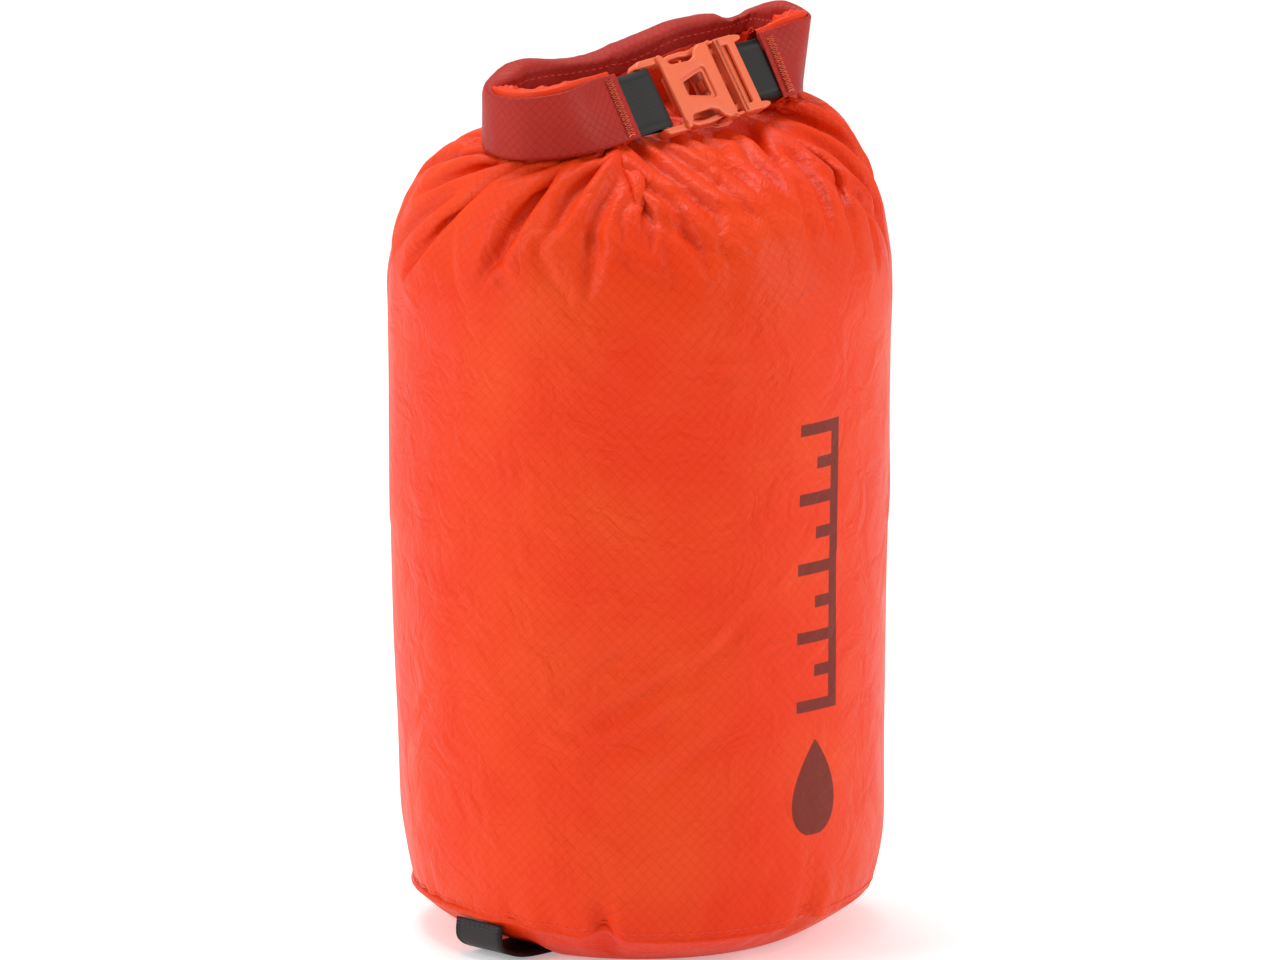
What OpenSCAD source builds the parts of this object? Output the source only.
// Roll-top dry bag, about 5 litres, closed: the mouth is rolled down, bent into a ring and buckled.
// Millimetres. +Z is up, the buckle faces -Y, and the origin is the middle of the base on the floor.

/* [Bag] */
// Widest diameter of the filled bag
body_d = 157; // [150:1:165]
// Height of the seam between the side wall and the base
seam_z = 13; // [12:0.5:14]
// Height where the straight wall ends and the shoulders begin
shoulder_z = 203; // [180:1:210]
// Height of the top of the shoulders
dome_z = 249; // [246:0.5:249.5]
// Thickness of the coated wall fabric, as a stand-in
wall_t = 1.2; // [1:0.1:1.5]

/* [Rolled closure] */
// Height of the underside of the roll
roll_z = 257; // [256.5:0.5:262]
// Height of the outer closure strip
strip_h = 22; // [21:0.5:24]
// Distance of the left bend's centre from the middle
bend_x = 43; // [41:0.5:46]
// Distance of the right bend's centre from the middle
right_bend_x = 46; // [43:0.5:47]
// Outer radius of the bends
bend_r = 20; // [19:0.5:22]
// Thickness of the rolled fabric at the back
roll_t = 10; // [8:0.5:11]

/* [Webbing and buckle] */
// Width of the webbing
webbing_w = 20; // [18:0.5:20.5]
// Thickness of the webbing
webbing_t = 1.35; // [1.2:0.05:1.4]
// Width of the buckle over its ears
buckle_w = 25.4; // [25:0.1:26]
// Thickness of the buckle
buckle_t = 8; // [7.6:0.1:8.4]
// Angle by which the buckle and the ends of the roll lean back at the top
lean = 33; // [20:1:38]
// Angle by which the buckle rises towards its plug
front_rise = 3; // [0:0.5:4]

/* [Hidden] */

fit = 0.1;              // gap between layers that only touch
fabric_orange = [0.96, 0.27, 0.13];
strip_red = [0.66, 0.16, 0.13];
plastic_orange = [0.98, 0.42, 0.22];
thread_orange = [0.98, 0.36, 0.14];
webbing_black = [0.09, 0.09, 0.10];
tape_grey = [0.72, 0.72, 0.72];

body_r = body_d / 2;
wall_points = 48;       // points round each level of the side wall
dome_steps = 9;         // levels between the shoulder and the neck
base_pinch = 4.2;       // how much the wall draws in at the base seam
pinch_top = 45;         // height where that drawing in begins
taper = 2;              // how much slimmer the wall is at that height than at the shoulders
dome_power = 0.85;      // below 1 the shoulders are fuller than an ellipse

// The flattened neck stands under the back of the roll.
neck_x = 52;            // half its length
neck_y = 13.2;          // its centre line
neck_half = 4.8;        // half its thickness, outside
lip_z = 252.5;          // top of the side wall's lip
neck_power = 3.2;       // squareness of the neck's ends

base_flat_r = 49;       // radius of the flat patch the bag stands on
base_t = 3.2;           // thickness of the base over that patch
base_wall = 1.5;        // thickness of the base at the seam

strap_w = 20;
strap_t = 1.4;
strap_bend_x = 49.5;    // where the haul strap starts to curve up to the seam
strap_out = 23.9;       // how far that curve reaches outwards
strap_top = 15;         // height of the strap's sewn ends
strap_power = 0.65;     // squareness of the curve

function mix(a, b, t) = a * (1 - t) + b * t;
function signed_power(v, p) = sign(v) * pow(abs(v), p);

// ---------- bag ----------

// Radius of the filled wall at a height below the shoulders.
function wall_radius(z) = body_r - taper * (shoulder_z - z) / (shoulder_z - pinch_top)
    - base_pinch * pow(max(pinch_top - z, 0) / (pinch_top - seam_z), 2.4);

// One closed level of a loft: a rounded outline that is a circle at power 2.
function level(z, half_x, half_y, centre_y, power) = [
    for (i = [0 : wall_points - 1]) let (a = 360 * i / wall_points)
        [half_x * signed_power(cos(a), 2 / power),
         centre_y + half_y * signed_power(sin(a), 2 / power), z]
];

// The levels of the wall from the base seam to the lip, drawn in by an inset for the inner face.
function wall_levels(inset) = concat(
    [for (z = [seam_z, 17, 22, 28, 36, pinch_top, 120, shoulder_z])
        let (r = wall_radius(z) - inset) level(z, r, r, 0, 2)],
    [for (i = [1 : dome_steps])
        let (a = 90 * i / dome_steps, out = pow(cos(a), dome_power), up = pow(sin(a), dome_power))
        level(shoulder_z + (dome_z - inset - shoulder_z) * up,
              mix(neck_x - inset, body_r - inset, out), mix(neck_half - inset, body_r - inset, out),
              neck_y * (1 - out), mix(neck_power, 2, out))],
    [level(lip_z, neck_x - inset, neck_half - inset, neck_y, neck_power)]
);

// Two triangles for each cell between level k and level k + 1, whose points start at first.
function skin(levels, first, outwards) = [
    for (k = [0 : levels - 2], i = [0 : wall_points - 1])
        let (j = (i + 1) % wall_points, low = first + k * wall_points, high = low + wall_points)
        for (t = outwards ? [[low + i, high + i, high + j], [low + i, high + j, low + j]]
                          : [[low + i, high + j, high + i], [low + i, low + j, high + j]]) t
];

// A ring of triangles that joins the outer level at a to the inner level at b.
function rim(a, b, facing_up) = [
    for (i = [0 : wall_points - 1]) let (j = (i + 1) % wall_points)
        for (t = facing_up ? [[a + i, b + i, b + j], [a + i, b + j, a + j]]
                           : [[a + i, b + j, b + i], [a + i, a + j, b + j]]) t
];

module tube_of(outer, inner) {
    count = len(outer);
    inner_first = count * wall_points;
    points = concat([for (l = outer) each l], [for (l = inner) each l]);
    polyhedron(points, concat(
        skin(count, 0, true),
        skin(count, inner_first, false),
        rim(0, inner_first, false),
        rim((count - 1) * wall_points, inner_first + (count - 1) * wall_points, true)
    ), convexity = 6);
}

module side_wall() {
    color(fabric_orange) tube_of(wall_levels(0), wall_levels(wall_t));
}

// Heat-bonded tape over the vertical seam, inside the wall at the back.
tape_angle = 14;
tape_t = 0.4;
tape_zs = [22, 28, 36, pinch_top, 120, 200];

module side_seam_tape() {
    reach = wall_t + 0.35;
    color(tape_grey) rotate([0, 0, 90 - tape_angle / 2])
        rotate_extrude(angle = tape_angle, $fn = 96) polygon(concat(
            [for (z = tape_zs) [wall_radius(z) - reach, z]],
            [for (i = [len(tape_zs) - 1 : -1 : 0])
                [wall_radius(tape_zs[i]) - reach - tape_t, tape_zs[i]]]
        ));
}

// Profile of the base from its flat patch up to the seam: a cone that starts gently.
function base_curve(reach, rise, steps = 8) = [
    for (i = [0 : steps]) let (t = i / steps)
        [base_flat_r + reach * t, seam_z - rise * (1 - pow(t, 1.3))]
];

module base_panel() {
    outer = base_curve(wall_radius(seam_z) - 0.2 - base_flat_r, seam_z);
    inner = base_curve(wall_radius(seam_z) - 0.2 - base_wall - base_flat_r, seam_z - base_t);
    channel = [136, strap_w + 1.2, 2.3];
    color(fabric_orange) difference() {
        rotate_extrude($fn = 96) polygon(concat(
            [[0, 0]], outer, [for (i = [len(inner) - 1 : -1 : 0]) inner[i]], [[0, base_t]]
        ));
        translate([0, 0, channel[2] / 2 - 1]) cube(channel + [0, 0, 2], center = true);
    }
}

// Tape over the base seam, inside the bag.
module base_seam_tape() {
    color(tape_grey) rotate_extrude($fn = 96) polygon([
        [63.8, 10], [64.3, 10], [69.8, seam_z], [71.4, 18], [70.9, 18], [69.3, seam_z]
    ]);
}

// The line of topstitching just above the base seam.
module base_stitching() {
    color(thread_orange) rotate_extrude($fn = 96)
        translate([wall_radius(16) + 0.2, 15.75]) square(0.5);
}

// The short gathered neck that leads from the lip into the roll.
module neck_fabric() {
    grow = 0.1;
    zs = [lip_z, roll_z];
    color(fabric_orange) tube_of(
        [for (z = zs) level(z, neck_x + grow, neck_half + grow, neck_y, neck_power)],
        [for (z = zs) level(z, neck_x - wall_t, neck_half - wall_t, neck_y, neck_power)]
    );
}

// ---------- haul strap under the base ----------

// Middle line of the strap from the floor up to the seam, as a squared quarter ellipse.
function strap_curve(steps = 10) = concat(
    [for (i = [0 : steps]) let (a = 90 * i / steps)
        [strap_bend_x + strap_out * pow(sin(a), strap_power),
         strap_t / 2 + (seam_z - strap_t / 2) * (1 - pow(cos(a), strap_power))]],
    [[strap_bend_x + strap_out, strap_top]]
);

// The same line moved sideways by d, each point along the normal there.
function moved(line, d) = [
    for (i = [0 : len(line) - 1])
        let (a = line[max(i - 1, 0)], b = line[min(i + 1, len(line) - 1)], v = (b - a) / norm(b - a))
        line[i] + d * [v[1], -v[0]]
];

module haul_strap() {
    half_line = strap_curve();
    under = moved(half_line, strap_t / 2);
    over = moved(half_line, -strap_t / 2);
    last = len(half_line) - 1;
    color(webbing_black) translate([0, strap_w / 2, 0]) rotate([90, 0, 0])
        linear_extrude(strap_w) polygon(concat(
            [for (p = under) p],
            [for (i = [last : -1 : 0]) over[i]],
            [for (p = over) [-p[0], p[1]]],
            [for (i = [last : -1 : 0]) [-under[i][0], under[i][1]]]
        ));
}

// Rows of tacking that hold the strap's ends in the base seam.
module haul_strap_tacks() {
    rows = 2;
    color(thread_orange) for (side = [-1, 1], row = [0 : rows - 1])
        translate([side * (strap_bend_x + strap_out + strap_t / 2 + 0.15), 0, seam_z - 1.5 + 2 * row])
            cube([0.3, strap_w - 3, 0.6], center = true);
}

// ---------- rolled closure ----------

core_in_r = bend_r - 1.9 - roll_t;     // inner radius of the roll
wing_in_r = 12;                        // inner radius of the thinner front wings
roll_h = strip_h + 2;                  // the rolled fabric stands proud of the strip
wing_left = -24.5;                     // where the left wing ends
wing_right = 38.5;                     // where the right wing ends
wing_core_low = 2.5;                   // the rolled fabric in the wings stops short of the strip's
wing_core_high = 23;                   // lower edge, and stands proud of its upper edge
front_x = 9.5;                         // middle of the buckle
front_z = 268.7;
split_gap = 0.3;                       // gap at the back where the right end can part
webbing_y = -17.55;                    // middle of the two webbing layers
webbing_z = roll_z + strip_h / 2;

module stadium(r) {
    for (x = [-bend_x, right_bend_x]) translate([x, 0]) circle(r, $fn = 96);
    translate([-bend_x, -r]) square([bend_x + right_bend_x, 2 * r]);
}

// The front of the ring is drawn upright and then leant back about a line through the webbing's
// middle. Share 0 leaves a piece upright, and share 1 leans it as far as the buckle.
module lean_back(share, x) {
    rise_here = share * (front_z - webbing_z + (x - front_x) * tan(front_rise));
    translate([0, webbing_y, webbing_z + rise_here]) rotate([-lean * share, 0, 0])
        translate([0, -webbing_y, -webbing_z]) children();
}

// Moves what is drawn upright round the webbing's middle to the place of the leaning buckle.
module in_front() {
    translate([front_x, webbing_y, front_z]) rotate([0, -front_rise, 0]) rotate([-lean, 0, 0])
        translate([-front_x, -webbing_y, -webbing_z]) children();
}

// Slabs of each wing as [from, to, share, x]: the wing twists slab by slab from its bend to its end.
// Each slab rises as the buckle's line does at its x.
slab_lap = 0.04;                       // slabs run this far into each other
left_upright = -bend_x + 0.5;          // the ring is upright as far as here
right_upright = right_bend_x - 0.2;
left_slabs = [
    [left_upright, -40, 0.2, -41], [-40, -37, 0.4, -38], [-37, -34, 0.6, -35], [-34, -31, 0.8, -32],
    [-31, wing_left, 1, wing_left]
];
right_slabs = [
    [wing_right, 43.3, 1, wing_right], [43.3, 44.2, 0.75, 43.7], [44.2, 45.1, 0.5, 44.6],
    [45.1, right_upright, 0.25, 45.4]
];

// What is drawn upright, cut into the slabs and leant slab by slab.
module twisted(slabs, low = 0, high = 60) {
    for (s = slabs) lean_back(s[2], s[3]) intersection() {
        children();
        translate([s[0] - slab_lap, -30, roll_z + low]) cube([s[1] - s[0] + 2 * slab_lap, 22, high - low]);
    }
}

// A piece of the ring, drawn upright, with its wings twisted.
module ring_piece(low = 0, high = 60) {
    difference() {
        children();
        translate([left_upright, -40, roll_z - 5]) cube([right_upright - left_upright, 33, 60]);
    }
    twisted(concat(left_slabs, right_slabs), low, high) children();
}

// A ring between two radii, open at the front between two x values.
module ring_layer(outer, inner, from_x, to_x) {
    difference() {
        stadium(outer);
        stadium(inner);
        translate([from_x, -outer - 1]) square([to_x - from_x, outer + 1]);
    }
}

// The part of the plan that moves with the plug: the right bend and the right wing.
module right_half() {
    translate([right_bend_x + split_gap / 2, -30]) square([40, 60]);
    translate([1, -30]) square([80, 30]);
}

module left_half() {
    difference() {
        translate([-80, -30]) square([80 + right_bend_x - split_gap / 2, 60]);
        translate([1, -31]) square([80, 31]);
    }
}

module core_plan() {
    difference() {
        ring_layer(bend_r - 1.9, core_in_r, wing_left - 1.5, wing_right + 1.5);
        // thinner wings, with a pocket for the webbing
        intersection() {
            stadium(wing_in_r);
            translate([-bend_x - 30, -30]) square([bend_x + right_bend_x + 60, 30]);
        }
        translate([-bend_x - fit, webbing_y - webbing_t - fit])
            square([bend_x + right_bend_x + 2 * fit, 2 * (webbing_t + fit)]);
    }
}

module strip_plan() { ring_layer(bend_r, bend_r - 1, wing_left, wing_right); }
module stiffener_plan() { ring_layer(bend_r - 1.1, bend_r - 1.8, -bend_x - 4, right_bend_x + 4); }

module cut_right() { intersection() { children(); right_half(); } }
module cut_left() { intersection() { children(); left_half(); } }
module rise(z, h) { translate([0, 0, z]) linear_extrude(h) children(); }

module roll_core() {
    color(fabric_orange) ring_piece(wing_core_low, wing_core_high) rise(roll_z, roll_h) cut_left() core_plan();
}
module roll_core_right() {
    color(fabric_orange) ring_piece(wing_core_low, wing_core_high) rise(roll_z, roll_h) cut_right() core_plan();
}
module closure_strip() {
    color(strip_red) ring_piece() rise(roll_z, strip_h) cut_left() strip_plan();
}
module closure_strip_right() {
    color(strip_red) ring_piece() rise(roll_z, strip_h) cut_right() strip_plan();
}
module stiffener() { color(tape_grey) rise(roll_z + 4, strip_h - 8) cut_left() stiffener_plan(); }
module stiffener_right() {
    color(tape_grey) rise(roll_z + 4, strip_h - 8) cut_right() stiffener_plan();
}

// ---------- webbing tabs and their bartacks ----------

bar_r = 1.3;

// A loop of webbing round a bar at the origin, with both legs running along +X to tail.
// The legs lie flat against each other from wing onwards.
module webbing_loop(wing, tail) {
    inner = bar_r + 0.05;
    outer = inner + webbing_t;
    shoulder = 0.96 * outer;    // the legs meet the loop a little inside its full width
    translate([0, 0, -webbing_w / 2]) linear_extrude(webbing_w) difference() {
        union() {
            circle(outer, $fn = 48);
            polygon([
                [tail, webbing_t], [wing, webbing_t], [0, shoulder],
                [0, -shoulder], [wing, -webbing_t], [tail, -webbing_t]
            ]);
        }
        circle(inner, $fn = 48);
        polygon([[wing, 0], [0, inner], [0, -inner]]);
    }
}

// The tab's legs where they run on inside the wing's last slab.
module tab_tail(slab, clear = 0.3) {
    inner_end = abs(slab[0]) > abs(slab[1]) ? slab[0] + clear : slab[0];
    outer_end = abs(slab[0]) > abs(slab[1]) ? slab[1] : slab[1] - clear;
    lean_back(1, slab[3]) translate([inner_end, webbing_y - webbing_t, webbing_z - webbing_w / 2])
        cube([outer_end - inner_end, 2 * webbing_t, webbing_w]);
}

tail_lap = 0.6;         // how far the loop's legs run on into the tail

module webbing_tab_left() {
    bar_x = buckle_x + socket_bar_u;
    color(webbing_black) {
        in_front() translate([bar_x, webbing_y, webbing_z]) mirror([1, 0, 0])
            webbing_loop(bar_x - wing_left, bar_x - wing_left + tail_lap);
        tab_tail(left_slabs[4]);
    }
}

module webbing_tab_right() {
    bar_x = buckle_x + plug_bar_u;
    color(webbing_black) {
        in_front() translate([bar_x, webbing_y, webbing_z])
            webbing_loop(wing_right - bar_x, wing_right - bar_x + tail_lap);
        tab_tail(right_slabs[0]);
    }
}

// A column of slanting stitches on the outer face of the strip.
module bartack(x, wing_x) {
    stitches = 14;
    step = (strip_h - 3) / stitches;
    color(thread_orange) lean_back(1, wing_x) for (i = [0 : stitches - 1])
        translate([x, -bend_r - 0.26, roll_z + 1.5 + step * (i + 0.5)])
            rotate([0, i % 2 == 0 ? 22 : -22, 0]) cube([3.4, 0.5, 0.6], center = true);
}

// ---------- side-release buckle ----------
// Its own frame: u runs from the socket's ear tips to the plug's ear tips, and w is up. Each piece is
// drawn upright, and in_front leans it.

buckle_x = front_x - 24.5;             // where u = 0 lies before the lean
socket_bar_u = 3;
plug_bar_u = 43.5;
mouth_u = 36.9;                        // end of the socket
plug_u = 37.1;                         // face of the plug
half_w = buckle_w / 2;
slot_half = webbing_w / 2 + 0.3;
plate_t = 1.5;
throat = 12;                           // half height inside the mouth
hinge_u = 38.2;                        // roots of the two prongs
hinge_w = 9.4;
root_r = 1.3;
prong_t = 3.6;

// Extrudes a (u, w) outline into the buckle's thickness, centred on depth y.
module through(t, y = webbing_y) {
    translate([buckle_x, y + t / 2, webbing_z]) rotate([90, 0, 0]) linear_extrude(t) children();
}

module both_ways() {
    children();
    mirror([0, 1]) children();
}

// A bar across the slot.
module bar(u) {
    translate([buckle_x + u, webbing_y, webbing_z])
        cylinder(r = bar_r, h = 2 * slot_half + 1, center = true, $fn = 48);
}

// One ear of a frame: it runs from the block to a rounded tip.
module ear(from_u, tip_u) {
    flare = 0.9;
    tip = (tip_u < from_u ? 1 : -1);
    polygon([
        [from_u, slot_half], [from_u, half_w], [tip_u + tip * 5, half_w],
        [tip_u + tip * 1, half_w - flare * 0.6], [tip_u, half_w - flare * 1.6], [tip_u, slot_half]
    ]);
}

// Outline of the socket's two plates, with waists that show the prongs.
module socket_plate() {
    waist = 8.6;
    both_ways() polygon([
        [12, 0], [12, half_w], [14, half_w - 0.6], [15, 10.6], [16.4, waist], [24.4, waist],
        [26.8, 9.6], [28, 11.2], [29.6, half_w], [mouth_u, half_w], [mouth_u, 0]
    ]);
}

module window(grow) {
    polygon([
        [18.6 - grow, 2.0 + grow], [26.6 + grow, 3.8 + grow],
        [26.6 + grow, -3.8 - grow], [18.6 - grow, -2.0 - grow]
    ]);
}

module buckle_socket() {
    color(plastic_orange) in_front() difference() {
        union() {
            for (s = [-1, 1]) through(plate_t, webbing_y + s * (buckle_t - plate_t) / 2)
                difference() { socket_plate(); window(0); }
            // the end wall behind the slot, and the thin sides of the mouth
            through(buckle_t) translate([12, -half_w]) square([2.4, 2 * half_w]);
            through(buckle_t) both_ways() translate([29.6, throat]) square([mouth_u - 29.6, half_w - throat]);
            through(5) both_ways() ear(13, 0);
            bar(socket_bar_u);
        }
        // a shallow frame round the window
        through(0.6, webbing_y - buckle_t / 2 + 0.3) difference() { window(1.2); window(0.5); }
    }
}

module buckle_plug() {
    lip_t = 1.2;
    lip_y = webbing_y - (buckle_t - lip_t) / 2;
    color(plastic_orange) in_front() difference() {
        union() {
            through(buckle_t) translate([plug_u, -half_w]) square([1.9, 2 * half_w]);
            through(lip_t, lip_y) translate([plug_u, -half_w]) difference() {
                square([7.9, 2 * half_w]);
                translate([1.9, half_w - slot_half]) square([2, 2 * slot_half]);
            }
            through(5) both_ways() ear(plug_u, 49);
            through(2.6) translate([27.5, -2]) square([plug_u - 27.4, 4]);
            bar(plug_bar_u);
        }
        // round seats for the roots of the prongs
        for (s = [-1, 1]) through(prong_t + 0.4) translate([hinge_u, s * hinge_w]) {
            circle(root_r + 0.15, $fn = 48);
            translate([-3, -root_r - 0.15]) square([3, 2 * root_r + 0.3]);
        }
    }
}

// A sprung prong: a slim arm with a finger pad that shows in the socket's waist.
module prong_plan() {
    translate([hinge_u, hinge_w]) circle(root_r, $fn = 48);
    polygon([
        [hinge_u, hinge_w - root_r], [hinge_u, hinge_w + root_r], [35.5, 11.0], [28, 11.6],
        [24, 11.75], [18.5, 11.7], [16.2, 11.0], [15.1, 9.6], [15.4, 8.9], [16.4, 9.3], [17.6, 10.2],
        [20, 10.5], [26, 10.2], [30, 9.7], [35.5, 9.0]
    ]);
}

module prong_top() { color(plastic_orange) in_front() through(prong_t) prong_plan(); }
module prong_bottom() {
    color(plastic_orange) in_front() through(prong_t) mirror([0, 1]) prong_plan();
}

side_wall();
side_seam_tape();
base_panel();
base_seam_tape();
base_stitching();
neck_fabric();
haul_strap();
haul_strap_tacks();
roll_core();
closure_strip();
stiffener();
webbing_tab_left();
bartack(wing_left - 3.6, wing_left);  // bartack_left
buckle_socket();
roll_core_right();
closure_strip_right();
stiffener_right();
webbing_tab_right();
bartack(wing_right + 2.4, wing_right);  // bartack_right
buckle_plug();
prong_top();
prong_bottom();
